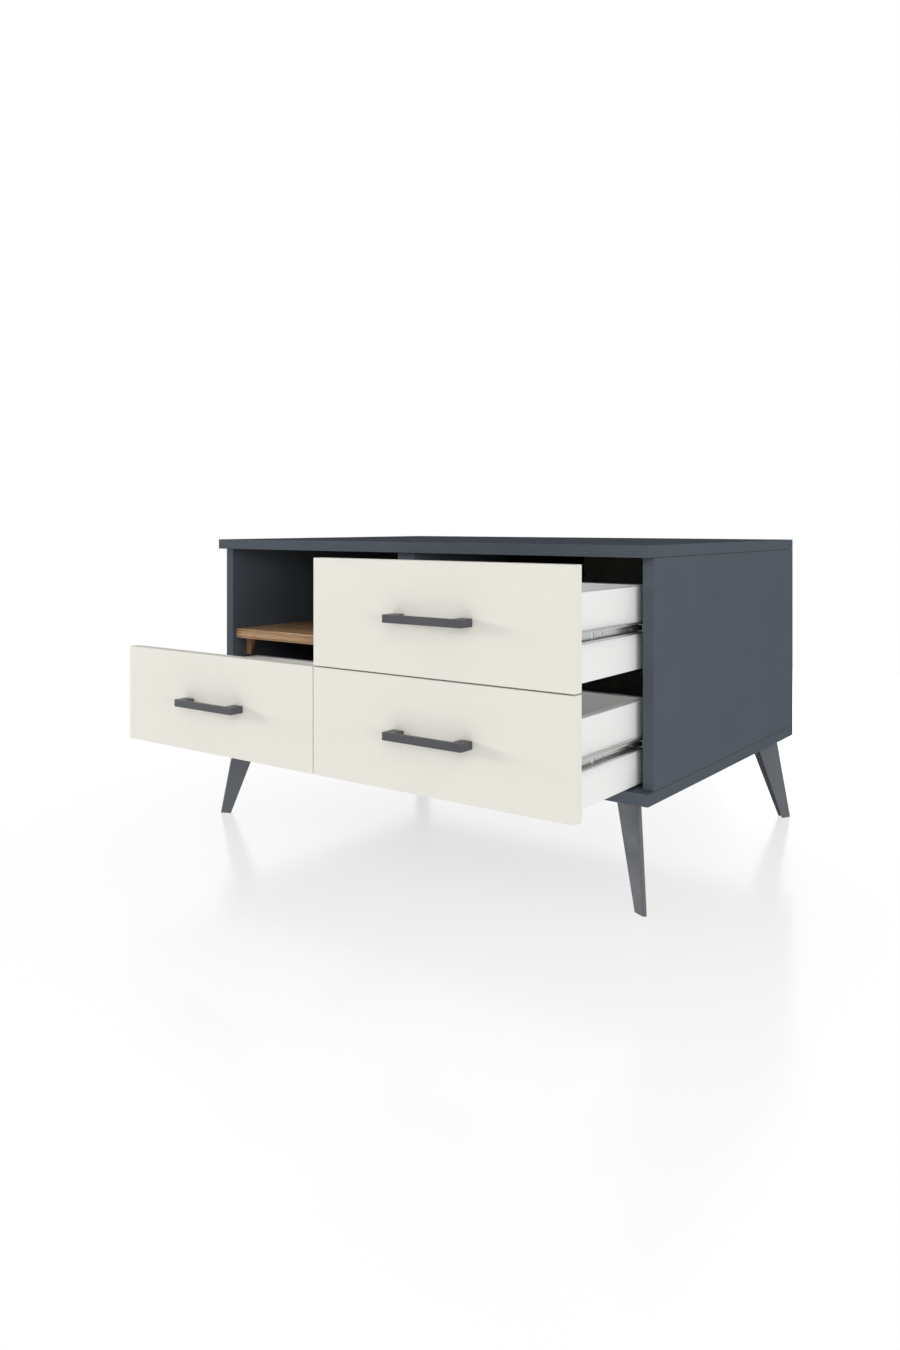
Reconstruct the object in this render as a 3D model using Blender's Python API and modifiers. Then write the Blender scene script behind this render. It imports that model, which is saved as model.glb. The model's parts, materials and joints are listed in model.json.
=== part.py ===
"""Low two-column chest of drawers on splayed folded legs: an open niche and three drawers on ball slides.

Sizes are in metres. X runs along the width, the fronts face -Y and +Z is up. The chest stands with its
drawers pulled out, and the origin lies on the floor, under the middle of the space that it then takes.
"""

import math

import bmesh
import bpy
from mathutils import Matrix, Vector

# Carcass boards
WIDTH = 0.900
DEPTH = 0.624
CARCASS_HEIGHT = 0.370
BOARD = 0.018
COLUMN_SPLIT = -0.0035
BACK_SHEET = 0.003
BACK_INSET = 0.020
BACK_GROOVE = 0.007
EDGE_EASE = 0.0008
EASE_STEPS = 2

# Gaps: pieces that touch, pieces that run past each other, and the joints that show round the fronts
SEAT = 0.0003
RUN_GAP = 0.0003
FRONT_GAP = 0.002
TOP_GAP = 0.003
BOTTOM_GAP = 0.004
CLOSING_GAP = 0.002

# Shelf under the niche and the tapered blocks that carry it
SHELF_SETBACK = 0.008
SHELF_LAP = 0.005
BLOCK_TOP_WIDTH = 0.017
BLOCK_TOP_DEPTH = 0.011
BLOCK_FOOT_WIDTH = 0.0115
BLOCK_FOOT_DEPTH = 0.0045
BLOCK_SETBACK = 0.025
BLOCK_CLEARANCE = 0.0024

# Folded legs: insets of the fold and flange widths, at the carcass and at the floor
LEG_HEIGHT = 0.155
LEG_SHEET = 0.0025
LEG_FOLD_RADIUS = 0.001
LEG_FLANGE_TURN = math.radians(26)
LEG_TOP_INSET_X = 0.0245
LEG_TOP_INSET_Y = 0.0225
LEG_FOOT_INSET_X = 0.005
LEG_FOOT_INSET_Y = 0.001
LEG_TOP_FLANGE = 0.0525
LEG_FOOT_FLANGE = 0.0205
LEG_FOLD_STEPS = 5
LEG_EDGE_EASE = 0.0004
CUT_EDGE_ANGLE = math.radians(60)

# The plate that closes a leg's top: it fills the fold and goes on inwards as a tab
PLATE_MARGIN = 0.003
PLATE_TAB = 0.022
PLATE_CORNER = 0.006
PLATE_HOLE = 0.005
PLATE_HOLE_INSET = 0.010

# Drawer fronts, boxes and handles
FRONT_BOARD = 0.018
BOX_WALL = 0.012
BOX_HEIGHT = 0.1206
BOX_UNDER_SLIDE = 0.0617
BOTTOM_SHEET = 0.003
GROOVE_RISE = 0.010
GROOVE_DEPTH = 0.006
HANDLE_SPACING = 0.128
HANDLE_END = 0.00475
HANDLE_FOOT = 0.0195
HANDLE_BAR = 0.0055
HANDLE_HEIGHT = 0.0115
HANDLE_PROJECTION = 0.0255

# Ball slides: a lipped channel on the drawer runs over a smaller channel on the carcass
SLIDE_GAP = 0.0127
UPPER_SLIDE_RISE = 0.0643
LOWER_SLIDE_RISE = 0.0617
RAIL_LENGTH = 0.250
RAIL_OVERLAP = 0.046
RAIL_HEIGHT = 0.017
RAIL_SHEET = 0.001
RAIL_BEND = 0.001
RAIL_STANDOFF = 0.0034
RAIL_START_GAP = 0.002
RAIL_END_MARGIN = 0.004
MOUTH_GAP = 0.0007
BEND_STEPS = 3
ACCESS_HOLE = 0.010
ACCESS_HOLE_PLACE = 0.074
SLOT_LENGTH = 0.0095
SLOT_WIDTH = 0.004
SLOT_PLACE = 0.098
SCREW_HOLE = 0.0045
SCREW_HOLE_INSET = 0.030
HOLE_STEPS = 16

# Ball cages between the two channels
BALL = 0.002
BALL_PITCH = 0.012
BALLS_IN_ROW = 3
CAGE_LENGTH = 0.040
CAGE_SHEET = 0.0009
CAGE_LEAD = 0.010

# Heights and lengths that follow from the sizes above
TOP_Z = LEG_HEIGHT + CARCASS_HEIGHT
INNER_LOW_Z = LEG_HEIGHT + BOARD
INNER_HIGH_Z = TOP_Z - BOARD
FRONT_HEIGHT = (INNER_HIGH_Z - INNER_LOW_Z - FRONT_GAP - TOP_GAP - BOTTOM_GAP) / 2
LOWER_ROW_Z = INNER_LOW_Z + BOTTOM_GAP
UPPER_ROW_Z = LOWER_ROW_Z + FRONT_HEIGHT + FRONT_GAP
SHELF_LOW_Z = LOWER_ROW_Z + FRONT_HEIGHT - SHELF_LAP
UPPER_SLIDE_Z = UPPER_ROW_Z + UPPER_SLIDE_RISE
LOWER_SLIDE_Z = LOWER_ROW_Z + LOWER_SLIDE_RISE
LOWER_BOX_TOP_Z = LOWER_SLIDE_Z - BOX_UNDER_SLIDE + BOX_HEIGHT

# Where a leg's fold stands, as distances inwards from the carcass corner
LEG_TOP_PLACE = Vector((LEG_TOP_INSET_X, LEG_TOP_INSET_Y))
LEG_FOOT_PLACE = Vector((LEG_FOOT_INSET_X, LEG_FOOT_INSET_Y))

# Distances back from the front edges of the top and bottom panels
SIDE_SETBACK = FRONT_BOARD + CLOSING_GAP
BOX_START = FRONT_BOARD + SEAT
RAIL_START = SIDE_SETBACK + RAIL_START_GAP
BOX_LENGTH = RAIL_START - BOX_START + RAIL_LENGTH + RAIL_END_MARGIN
BACK_START = DEPTH - BACK_INSET - BACK_SHEET

# The drawers stand open by their whole travel, and the origin is centred on the space taken so
DRAWER_TRAVEL = RAIL_LENGTH - RAIL_OVERLAP
REACH_FORWARD = DRAWER_TRAVEL + SEAT + HANDLE_PROJECTION
CHEST_FRONT = (REACH_FORWARD - DEPTH) / 2

# Section of a slide, as distances from the drawer wall towards the carcass and from the slide's middle
WEB_FACE = SEAT + RAIL_SHEET
CAGE_WEB = WEB_FACE + RUN_GAP + CAGE_SHEET / 2
CABINET_TIP = CAGE_WEB + CAGE_SHEET / 2 + RUN_GAP
LIP_FACE = SLIDE_GAP - RAIL_STANDOFF - RAIL_SHEET
CAGE_TIP = LIP_FACE - RUN_GAP
RACE_OUTER = RAIL_HEIGHT / 2 - RAIL_SHEET
RACE_INNER = RACE_OUTER - BALL - 2 * RUN_GAP
RACE_MIDDLE = (RACE_OUTER + RACE_INNER) / 2
BALL_PLACE = (CABINET_TIP + CAGE_TIP) / 2

# Base colour (linear), roughness and metallic value of each finish
FINISHES = {
    "anthracite_board": ((0.068, 0.074, 0.086), 0.50, 0.0),
    "cream_board": ((0.807, 0.787, 0.723), 0.45, 0.0),
    "white_board": ((0.820, 0.820, 0.805), 0.50, 0.0),
    "back_hardboard": ((0.480, 0.485, 0.430), 0.60, 0.0),
    "oak": ((0.402, 0.246, 0.138), 0.55, 0.0),
    "leg_paint": ((0.105, 0.116, 0.127), 0.45, 0.2),
    "handle_paint": ((0.085, 0.088, 0.100), 0.40, 0.2),
    "zinc_steel": ((0.560, 0.570, 0.560), 0.30, 1.0),
    "black_plastic": ((0.018, 0.018, 0.020), 0.45, 0.0),
}

# The three drawers: name, column side, bottom edge of the front and middle of the slides
DRAWERS = (
    ("upper", 1, UPPER_ROW_Z, UPPER_SLIDE_Z),
    ("lower_left", -1, LOWER_ROW_Z, LOWER_SLIDE_Z),
    ("lower_right", 1, LOWER_ROW_Z, LOWER_SLIDE_Z),
)
HANDS = (("left", -1), ("right", 1))
ENDS = (("front", 1), ("rear", -1))

# Turns an outline drawn in XY to stand in YZ, with its thickness along X
STAND_IN_YZ = Matrix(((0, 0, 1, 0), (1, 0, 0, 0), (0, 1, 0, 0), (0, 0, 0, 1)))


def clear_scene():
    for obj in list(bpy.data.objects):
        bpy.data.objects.remove(obj, do_unlink=True)


def collection(name):
    """The named collection, made and linked to the scene the first time."""
    found = bpy.data.collections.get(name)
    if found is None:
        found = bpy.data.collections.new(name)
        bpy.context.scene.collection.children.link(found)
    return found


def finish(name):
    """The material of a finish, made the first time it is asked for."""
    found = bpy.data.materials.get(name)
    if found is None:
        colour, roughness, metallic = FINISHES[name]
        found = bpy.data.materials.new(name)
        found.use_nodes = True
        shader = found.node_tree.nodes["Principled BSDF"]
        shader.inputs["Base Color"].default_value = (*colour, 1.0)
        shader.inputs["Roughness"].default_value = roughness
        shader.inputs["Metallic"].default_value = metallic
        found.diffuse_color = (*colour, 1.0)
    return found


def add_part(name, mesh, finish_name, place=(0, 0, 0), parent=None):
    part = bpy.data.objects.new(name, mesh)
    mesh.materials.append(finish(finish_name))
    part.location = place
    part.parent = parent
    collection("chest_of_drawers").objects.link(part)
    return part


def add_helper(name, mesh, place=(0, 0, 0), parent=None):
    """A cutter, or a form that is joined to a part, which isn't a part itself."""
    helper = bpy.data.objects.new(name, mesh)
    helper.location = place
    helper.parent = parent
    helper.hide_render = True
    helper.display_type = "WIRE"
    collection("cutters").objects.link(helper)
    return helper


def add_empty(name, place):
    empty = bpy.data.objects.new(name, None)
    empty.location = place
    empty.empty_display_size = BOARD
    collection("chest_of_drawers").objects.link(empty)
    return empty


def boolean(part, helper, operation):
    modifier = part.modifiers.new(f"{operation.lower()} {helper.name}", "BOOLEAN")
    modifier.operation = operation
    modifier.solver = "EXACT"
    modifier.object = helper


def ease_edges(part):
    """Rounds the edges as edge banding or a deburred casting has them."""
    modifier = part.modifiers.new("eased edges", "BEVEL")
    modifier.width = EDGE_EASE
    modifier.segments = EASE_STEPS
    modifier.limit_method = "ANGLE"
    modifier.angle_limit = math.radians(40)


def thicken(part, sheet):
    """Gives a strip the thickness of its sheet, half on each side."""
    modifier = part.modifiers.new("sheet", "SOLIDIFY")
    modifier.thickness = sheet
    modifier.offset = 0
    modifier.use_even_offset = True
    modifier.use_rim = True


def smooth(mesh):
    mesh.shade_smooth()
    mesh.set_sharp_from_angle(angle=math.radians(35))


def mesh_from(shape, name):
    """Turns a finished bmesh into a mesh with its faces pointing out."""
    bmesh.ops.recalc_face_normals(shape, faces=shape.faces)
    mesh = bpy.data.meshes.new(name)
    shape.to_mesh(mesh)
    shape.free()
    return mesh


def cuboid_mesh(name, size):
    shape = bmesh.new()
    bmesh.ops.create_cube(shape, size=1)
    bmesh.ops.scale(shape, vec=size, verts=shape.verts)
    return mesh_from(shape, name)


def board(name, low, high, finish_name, parent=None):
    """A board between two corners, with eased edges."""
    low, high = Vector(low), Vector(high)
    part = add_part(name, cuboid_mesh(name, high - low), finish_name, (low + high) / 2, parent)
    ease_edges(part)
    return part


def rounded_path(corners, radius, steps):
    """The corners joined by straight lines, with an arc at each corner between the two ends."""
    path = [Vector(corners[0])]
    for before, corner, after in zip(corners, corners[1:], corners[2:]):
        corner = Vector(corner)
        to_before = (Vector(before) - corner).normalized()
        to_after = (Vector(after) - corner).normalized()
        half = to_before.angle(to_after) / 2
        centre = corner + (to_before + to_after).normalized() * (radius / math.sin(half))
        spoke = corner + to_before * (radius / math.tan(half)) - centre
        for step in range(steps + 1):
            angle = (math.pi - 2 * half) * step / steps
            path.append(centre + spoke * math.cos(angle) - to_before * (radius * math.sin(angle)))
    path.append(Vector(corners[-1]))
    return path


def slot_outline(middle, length, width):
    """A slot with round ends along X, or a circle where its length is its width."""
    outline = []
    for step in range(HOLE_STEPS):
        angle = 2 * math.pi * (step + 0.5) / HOLE_STEPS
        shift = math.copysign((length - width) / 2, math.cos(angle))
        along = middle[0] + shift + math.cos(angle) * width / 2
        outline.append((along, middle[1] + math.sin(angle) * width / 2))
    return outline


def outline_mesh(name, outlines, thickness):
    """Flat closed outlines in XY, thickened evenly about Z = 0. An outline inside another is a hole."""
    curve = bpy.data.curves.new(name, "CURVE")
    curve.dimensions = "2D"
    curve.fill_mode = "BOTH"
    curve.extrude = thickness / 2
    for outline in outlines:
        spline = curve.splines.new("POLY")
        spline.points.add(len(outline) - 1)
        for point, place in zip(spline.points, outline):
            point.co = (place[0], place[1], 0, 1)
        spline.use_cyclic_u = True
    guide = bpy.data.objects.new(name, curve)
    bpy.context.scene.collection.objects.link(guide)
    graph = bpy.context.evaluated_depsgraph_get()
    filled = bpy.data.meshes.new_from_object(guide.evaluated_get(graph))
    bpy.data.objects.remove(guide, do_unlink=True)
    shape = bmesh.new()
    shape.from_mesh(filled)
    bmesh.ops.remove_doubles(shape, verts=shape.verts, dist=1e-6)
    bpy.data.meshes.remove(filled)
    bpy.data.curves.remove(curve)
    return mesh_from(shape, name)


def strip_mesh(name, path, length):
    """An open strip: a path in XZ drawn out along Y."""
    shape = bmesh.new()
    points = [shape.verts.new((point[0], 0, point[1])) for point in path]
    edges = [shape.edges.new(pair) for pair in zip(points, points[1:])]
    drawn = bmesh.ops.extrude_edge_only(shape, edges=edges)["geom"]
    moved = [item for item in drawn if isinstance(item, bmesh.types.BMVert)]
    bmesh.ops.translate(shape, verts=moved, vec=(0, length, 0))
    mesh = mesh_from(shape, name)
    smooth(mesh)
    return mesh


def loft_mesh(name, low_outline, high_outline, low_z, high_z):
    """A solid between two flat outlines of as many points each, at two heights."""
    shape = bmesh.new()
    low = [shape.verts.new((x, y, low_z)) for x, y in low_outline]
    high = [shape.verts.new((x, y, high_z)) for x, y in high_outline]
    shape.faces.new(low)
    shape.faces.new(high)
    for index in range(len(low)):
        after = (index + 1) % len(low)
        shape.faces.new((low[index], low[after], high[after], high[index]))
    return mesh_from(shape, name)


def rectangle(width, depth):
    return [(0, 0), (width, 0), (width, depth), (0, depth)]


def column_faces(side):
    """The left and right inner faces of a column: -1 is the left column and 1 the right one."""
    if side < 0:
        return BOARD - WIDTH / 2, COLUMN_SPLIT - BOARD
    return COLUMN_SPLIT + BOARD, WIDTH / 2 - BOARD


def column_middle(side):
    left, right = column_faces(side)
    return (left + right) / 2


def box_half_width(side):
    """Half the width of a column's drawer boxes, which leave room for a slide on each side."""
    left, right = column_faces(side)
    return (right - left) / 2 - SLIDE_GAP


def build_carcass():
    """Top and bottom over the full width, sides and double partition between, and a back in grooves."""
    half = WIDTH / 2
    front = CHEST_FRONT + SIDE_SETBACK
    sheet_front = CHEST_FRONT + BACK_START
    chest_back = CHEST_FRONT + DEPTH
    low = INNER_LOW_Z + SEAT
    high = INNER_HIGH_Z - SEAT
    dark = "anthracite_board"
    shell = [
        board("top_panel", (-half, CHEST_FRONT, INNER_HIGH_Z), (half, chest_back, TOP_Z), dark),
        board("bottom_panel", (-half, CHEST_FRONT, LEG_HEIGHT), (half, chest_back, INNER_LOW_Z), dark),
        board("left_side_panel", (-half, front, low), (BOARD - half, chest_back, high), dark),
        board("right_side_panel", (half - BOARD, front, low), (half, chest_back, high), dark),
    ]
    for hand_name, hand in HANDS:
        faces = sorted((COLUMN_SPLIT + hand * SEAT / 2, COLUMN_SPLIT + hand * BOARD))
        corners = (faces[0], front, low), (faces[1], sheet_front - SEAT, high)
        board(f"{hand_name}_partition", *corners, dark)
    inner_width = WIDTH - 2 * BOARD
    inner_height = INNER_HIGH_Z - INNER_LOW_Z
    reach = 2 * BACK_GROOVE
    groove_size = (inner_width + reach, BACK_SHEET + 2 * SEAT, inner_height + reach)
    middle = (0, sheet_front + BACK_SHEET / 2, INNER_LOW_Z + inner_height / 2)
    groove = add_helper("back_groove", cuboid_mesh("back_groove", groove_size), middle)
    for panel in shell:
        boolean(panel, groove, "DIFFERENCE")
    sheet_size = (groove_size[0] - 2 * SEAT, BACK_SHEET, groove_size[2] - 2 * SEAT)
    add_part("back_panel", cuboid_mesh("back_panel", sheet_size), "back_hardboard", middle)


def build_shelf():
    """The oak shelf that floors the niche, on a tapered block at each corner."""
    left, right = column_faces(-1)
    left += SEAT
    right -= SEAT
    front = CHEST_FRONT + SIDE_SETBACK + SHELF_SETBACK
    back = CHEST_FRONT + BACK_START - SEAT
    board("oak_shelf", (left, front, SHELF_LOW_Z), (right, back, SHELF_LOW_Z + BOARD), "oak")
    high = SHELF_LOW_Z - SEAT
    low = LOWER_BOX_TOP_Z + BLOCK_CLEARANCE
    mesh = loft_mesh(
        "shelf_block",
        rectangle(BLOCK_FOOT_WIDTH, BLOCK_FOOT_DEPTH),
        rectangle(BLOCK_TOP_WIDTH, BLOCK_TOP_DEPTH),
        low - high,
        0,
    )
    for end, into in ENDS:
        for hand, side in HANDS:
            copy = mesh.copy()
            copy.transform(Matrix.Diagonal((-side, into, 1, 1)))
            if side == into:
                copy.flip_normals()
            x = left if hand == "left" else right
            y = front + BLOCK_SETBACK if end == "front" else back - BLOCK_SETBACK
            block = add_part(f"shelf_block_{end}_{hand}", copy, "oak", (x, y, high))
            ease_edges(block)
    bpy.data.meshes.remove(mesh)


def leg_frame(fold):
    """Where the outer faces of a leg's two flanges would meet, and the directions of the flanges."""
    half_angle = math.pi / 4 - LEG_FLANGE_TURN
    outer_radius = LEG_FOLD_RADIUS + LEG_SHEET
    draw_back = outer_radius * (1 / math.sin(half_angle) - 1)
    corner = fold - draw_back * Vector((1, 1)).normalized()
    along_x = Vector((math.cos(LEG_FLANGE_TURN), math.sin(LEG_FLANGE_TURN)))
    return corner, along_x, along_x.yx, half_angle, draw_back


def leg_section(fold, flange):
    """Outline of the folded sheet at one height, as distances inwards from the carcass corner."""
    corner, along_x, along_y, half_angle, draw_back = leg_frame(fold)
    inner_corner = corner + Vector((1, 1)).normalized() * (LEG_SHEET / math.sin(half_angle))
    end_x = corner + along_x * (flange + draw_back)
    end_y = corner + along_y * (flange + draw_back)
    inner_end_x = end_x + Vector((-along_x.y, along_x.x)) * LEG_SHEET
    inner_end_y = end_y + Vector((along_y.y, -along_y.x)) * LEG_SHEET
    outer_radius = LEG_FOLD_RADIUS + LEG_SHEET
    outer = rounded_path((end_x, corner, end_y), outer_radius, LEG_FOLD_STEPS)
    inner = rounded_path((inner_end_y, inner_corner, inner_end_x), LEG_FOLD_RADIUS, LEG_FOLD_STEPS)
    return outer + inner


def plate_outlines():
    """The plate across the top of a leg, between its flanges and past them, with three screw holes."""
    corner, along_x, along_y, half_angle, draw_back = leg_frame(LEG_TOP_PLACE)
    diagonal = Vector((1, 1)).normalized()
    start = corner + diagonal * (LEG_SHEET / 2 / math.sin(half_angle))
    reach = LEG_TOP_FLANGE + draw_back - PLATE_MARGIN - LEG_SHEET / 2 / math.tan(half_angle)
    end_x = start + along_x * reach
    end_y = start + along_y * reach
    tab = diagonal * PLATE_TAB
    edge = rounded_path((end_x, end_x + tab, end_y + tab, end_y), PLATE_CORNER, LEG_FOLD_STEPS)
    mouth = (end_x + end_y) / 2
    half_mouth = (end_x - end_y) / 2
    spread = half_mouth.normalized() * (half_mouth.length - PLATE_HOLE_INSET)
    on_tab = mouth + tab - diagonal * PLATE_HOLE_INSET
    middles = (mouth - diagonal * PLATE_HOLE_INSET, on_tab + spread, on_tab - spread)
    holes = [slot_outline(middle, PLATE_HOLE, PLATE_HOLE) for middle in middles]
    return [[start, *edge], *holes]


def ease_cut_edges(mesh, high):
    """Rounds the cut edges of a leg's sheet, apart from its top, which meets the carcass."""
    shape = bmesh.new()
    shape.from_mesh(mesh)
    cut = []
    for edge in shape.edges:
        below_top = min(point.co.z for point in edge.verts) < high / 2
        if below_top and edge.calc_face_angle() > CUT_EDGE_ANGLE:
            cut.append(edge)
    settings = {"segments": EASE_STEPS, "profile": 0.5, "affect": "EDGES", "clamp_overlap": True}
    bmesh.ops.bevel(shape, geom=cut, offset=LEG_EDGE_EASE, **settings)
    shape.to_mesh(mesh)
    shape.free()


def build_legs():
    """Four tapered legs, each one sheet folded to a V whose fold points out at the carcass corner."""
    high = LEG_HEIGHT - SEAT
    foot = leg_section(LEG_FOOT_PLACE, LEG_FOOT_FLANGE)
    head = leg_section(LEG_TOP_PLACE, LEG_TOP_FLANGE)
    for end, into in ENDS:
        for hand, side in HANDS:
            name = f"leg_{end}_{hand}"
            corner_y = CHEST_FRONT if end == "front" else CHEST_FRONT + DEPTH
            place = (side * WIDTH / 2, corner_y, 0)
            mesh = loft_mesh(name, foot, head, 0, high)
            ease_cut_edges(mesh, high)
            plate = outline_mesh(f"{name}_plate", plate_outlines(), LEG_SHEET)
            plate.transform(Matrix.Translation((0, 0, high - LEG_SHEET / 2)))
            for turned in (mesh, plate):
                turned.transform(Matrix.Diagonal((-side, into, 1, 1)))
                if side == into:
                    turned.flip_normals()
            smooth(mesh)
            leg = add_part(name, mesh, "leg_paint", place)
            boolean(leg, add_helper(f"{name}_plate", plate, place), "UNION")


def rail_holes(name, holes, web, parent):
    """A cutter through a rail's web: each hole is (distance from the rail's front end, length, width)."""
    outlines = [slot_outline((place, 0), length, width) for place, length, width in holes]
    mesh = outline_mesh(name, outlines, 3 * RAIL_SHEET)
    mesh.transform(STAND_IN_YZ)
    return add_helper(name, mesh, web, parent)


def add_rail(name, path, hand, place, holes, parent=None):
    """A channel along Y, bent from sheet, with holes through its web, which is the middle of the path."""
    web = path[len(path) // 2][0]
    path = [(hand * out, up) for out, up in path]
    rail = add_part(name, strip_mesh(name, path, RAIL_LENGTH), "zinc_steel", place, parent)
    thicken(rail, RAIL_SHEET)
    web_place = (place[0] + hand * web, place[1], place[2])
    boolean(rail, rail_holes(f"{name}_holes", holes, web_place, parent), "DIFFERENCE")


def drawer_rail_path():
    """The lipped channel on the drawer, open towards the carcass."""
    web = SEAT + RAIL_SHEET / 2
    lip = LIP_FACE + RAIL_SHEET / 2
    flange = RACE_OUTER + RAIL_SHEET / 2
    mouth = RACE_INNER + MOUTH_GAP
    corners = ((lip, -mouth), (lip, -flange), (web, -flange), (web, flange), (lip, flange), (lip, mouth))
    return rounded_path(corners, RAIL_BEND, BEND_STEPS)


def cabinet_rail_path():
    """The smaller channel on the carcass, open towards the drawer."""
    web = SLIDE_GAP - SEAT - RAIL_SHEET / 2
    flange = RACE_INNER - RAIL_SHEET / 2
    corners = ((CABINET_TIP, -flange), (web, -flange), (web, flange), (CABINET_TIP, flange))
    return rounded_path(corners, RAIL_BEND, BEND_STEPS)


def cage_path():
    """The cage's strip, folded round the flanges of the smaller channel."""
    up = RACE_MIDDLE
    corners = ((CAGE_TIP, -up), (CAGE_WEB, -up), (CAGE_WEB, up), (CAGE_TIP, up))
    return rounded_path(corners, RAIL_BEND, BEND_STEPS)


def balls_mesh(name):
    """Two rows of balls, above and below the slide's middle."""
    shape = bmesh.new()
    for row in (-1, 1):
        for index in range(BALLS_IN_ROW):
            y = (index - (BALLS_IN_ROW - 1) / 2) * BALL_PITCH
            place = Matrix.Translation((0, y, row * RACE_MIDDLE))
            bmesh.ops.create_uvsphere(shape, u_segments=8, v_segments=5, radius=BALL / 2, matrix=place)
    return mesh_from(shape, name)


def build_slides(name, side, middle_z):
    """The carcass rails of one drawer, and the ball cages, which travel half as far as the drawer."""
    column = column_middle(side)
    rail_y = CHEST_FRONT + RAIL_START
    cages = add_empty(f"{name}_cages_slide", (column, rail_y, middle_z))
    ends = (SCREW_HOLE_INSET, RAIL_LENGTH - SCREW_HOLE_INSET)
    screws = [(place, SCREW_HOLE, SCREW_HOLE) for place in ends]
    for hand_name, hand in HANDS:
        wall = hand * box_half_width(side)
        rail_name = f"{name}_{hand_name}_cabinet_rail"
        add_rail(rail_name, cabinet_rail_path(), hand, (column + wall, rail_y, middle_z), screws)
        cage_name = f"{name}_{hand_name}_ball_cage"
        path = [(hand * out, up) for out, up in cage_path()]
        mesh = strip_mesh(cage_name, path, CAGE_LENGTH)
        cage = add_part(cage_name, mesh, "black_plastic", (wall, -CAGE_LEAD, 0), cages)
        thicken(cage, CAGE_SHEET)
        balls_place = (wall + hand * BALL_PLACE, CAGE_LENGTH / 2 - CAGE_LEAD, 0)
        balls = add_helper(f"{cage_name}_balls", balls_mesh(f"{cage_name}_balls"), balls_place, cages)
        boolean(cage, balls, "UNION")


def handle_outline():
    """A rectangular bow seen from above: two feet against the front and a bar between them."""
    outer = HANDLE_SPACING / 2 + HANDLE_END
    inner = outer - HANDLE_FOOT
    far = -HANDLE_PROJECTION
    near = far + HANDLE_BAR
    outside = [(-outer, 0), (-outer, far), (outer, far), (outer, 0)]
    inside = [(inner, 0), (inner, near), (-inner, near), (-inner, 0)]
    return outside + inside


def build_box(name, slide, half, slide_rise):
    """Four walls round a thin bottom that sits in grooves, in the drawer's own frame."""
    inner = half - BOX_WALL
    start = BOX_START
    end = start + BOX_LENGTH
    low = slide_rise - BOX_UNDER_SLIDE
    high = low + BOX_HEIGHT
    white = "white_board"
    walls = [
        board(f"{name}_left_wall", (-half, start, low), (-inner, end, high), white, slide),
        board(f"{name}_right_wall", (inner, start, low), (half, end, high), white, slide),
    ]
    across = inner - SEAT
    for wall, from_y in (("box_front", start), ("back_wall", end - BOX_WALL)):
        corners = (-across, from_y, low), (across, from_y + BOX_WALL, high)
        walls.append(board(f"{name}_{wall}", *corners, white, slide))
    groove_low = low + GROOVE_RISE
    reach = inner + GROOVE_DEPTH
    first = start + BOX_WALL - GROOVE_DEPTH
    last = end - BOX_WALL + GROOVE_DEPTH
    groove_size = (2 * reach, last - first, BOTTOM_SHEET + 2 * SEAT)
    groove_middle = (0, (first + last) / 2, groove_low + BOTTOM_SHEET / 2)
    groove = add_helper(f"{name}_groove", cuboid_mesh(f"{name}_groove", groove_size), groove_middle, slide)
    for wall in walls:
        boolean(wall, groove, "DIFFERENCE")
    sheet_size = (2 * (reach - SEAT), last - first - 2 * SEAT, BOTTOM_SHEET)
    add_part(f"{name}_bottom", cuboid_mesh(f"{name}_bottom", sheet_size), white, groove_middle, slide)


def build_drawer(name, side, row_z, slide_z):
    """One drawer on its parent empty: front, handle, box and the rails on the box."""
    drawer = f"{name}_drawer"
    column = column_middle(side)
    half = box_half_width(side)
    slide = add_empty(f"{drawer}_slide", (column, CHEST_FRONT - DRAWER_TRAVEL, row_z))
    outer_edge = side * (WIDTH / 2 - FRONT_GAP)
    inner_edge = COLUMN_SPLIT + side * FRONT_GAP / 2
    low_x, high_x = sorted((outer_edge - column, inner_edge - column))
    board(f"{drawer}_front", (low_x, 0, 0), (high_x, FRONT_BOARD, FRONT_HEIGHT), "cream_board", slide)
    handle_place = ((low_x + high_x) / 2, -SEAT, FRONT_HEIGHT / 2)
    mesh = outline_mesh(f"{drawer}_handle", [handle_outline()], HANDLE_HEIGHT)
    ease_edges(add_part(f"{drawer}_handle", mesh, "handle_paint", handle_place, slide))
    build_box(drawer, slide, half, slide_z - row_z)
    holes = (
        (SCREW_HOLE_INSET, SCREW_HOLE, SCREW_HOLE),
        (ACCESS_HOLE_PLACE, ACCESS_HOLE, ACCESS_HOLE),
        (SLOT_PLACE, SLOT_LENGTH, SLOT_WIDTH),
        (RAIL_LENGTH - SCREW_HOLE_INSET, SCREW_HOLE, SCREW_HOLE),
    )
    for hand_name, hand in HANDS:
        place = (hand * half, RAIL_START, slide_z - row_z)
        add_rail(f"{drawer}_{hand_name}_rail", drawer_rail_path(), hand, place, holes, slide)


def main():
    clear_scene()
    build_carcass()
    build_shelf()
    build_legs()
    for name, side, row_z, slide_z in DRAWERS:
        build_slides(name, side, slide_z)
        build_drawer(name, side, row_z, slide_z)


if __name__ == "__main__":
    main()
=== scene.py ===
# %% [markdown]
# # Dressing a low chest of drawers
# The chest is flat-pack furniture: dark melamine boards, cream drawer fronts, white drawer boxes on
# ball slides, one oak shelf and four legs folded from sheet steel. The solids come ready made and
# packed, each in its place. This lesson gives every one of them a finish, adds the small parts that
# the solids leave out, and lights the whole as a catalogue photograph would.

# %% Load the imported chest
import json
import math

import bmesh
import bpy
from mathutils import Matrix, Vector


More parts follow.
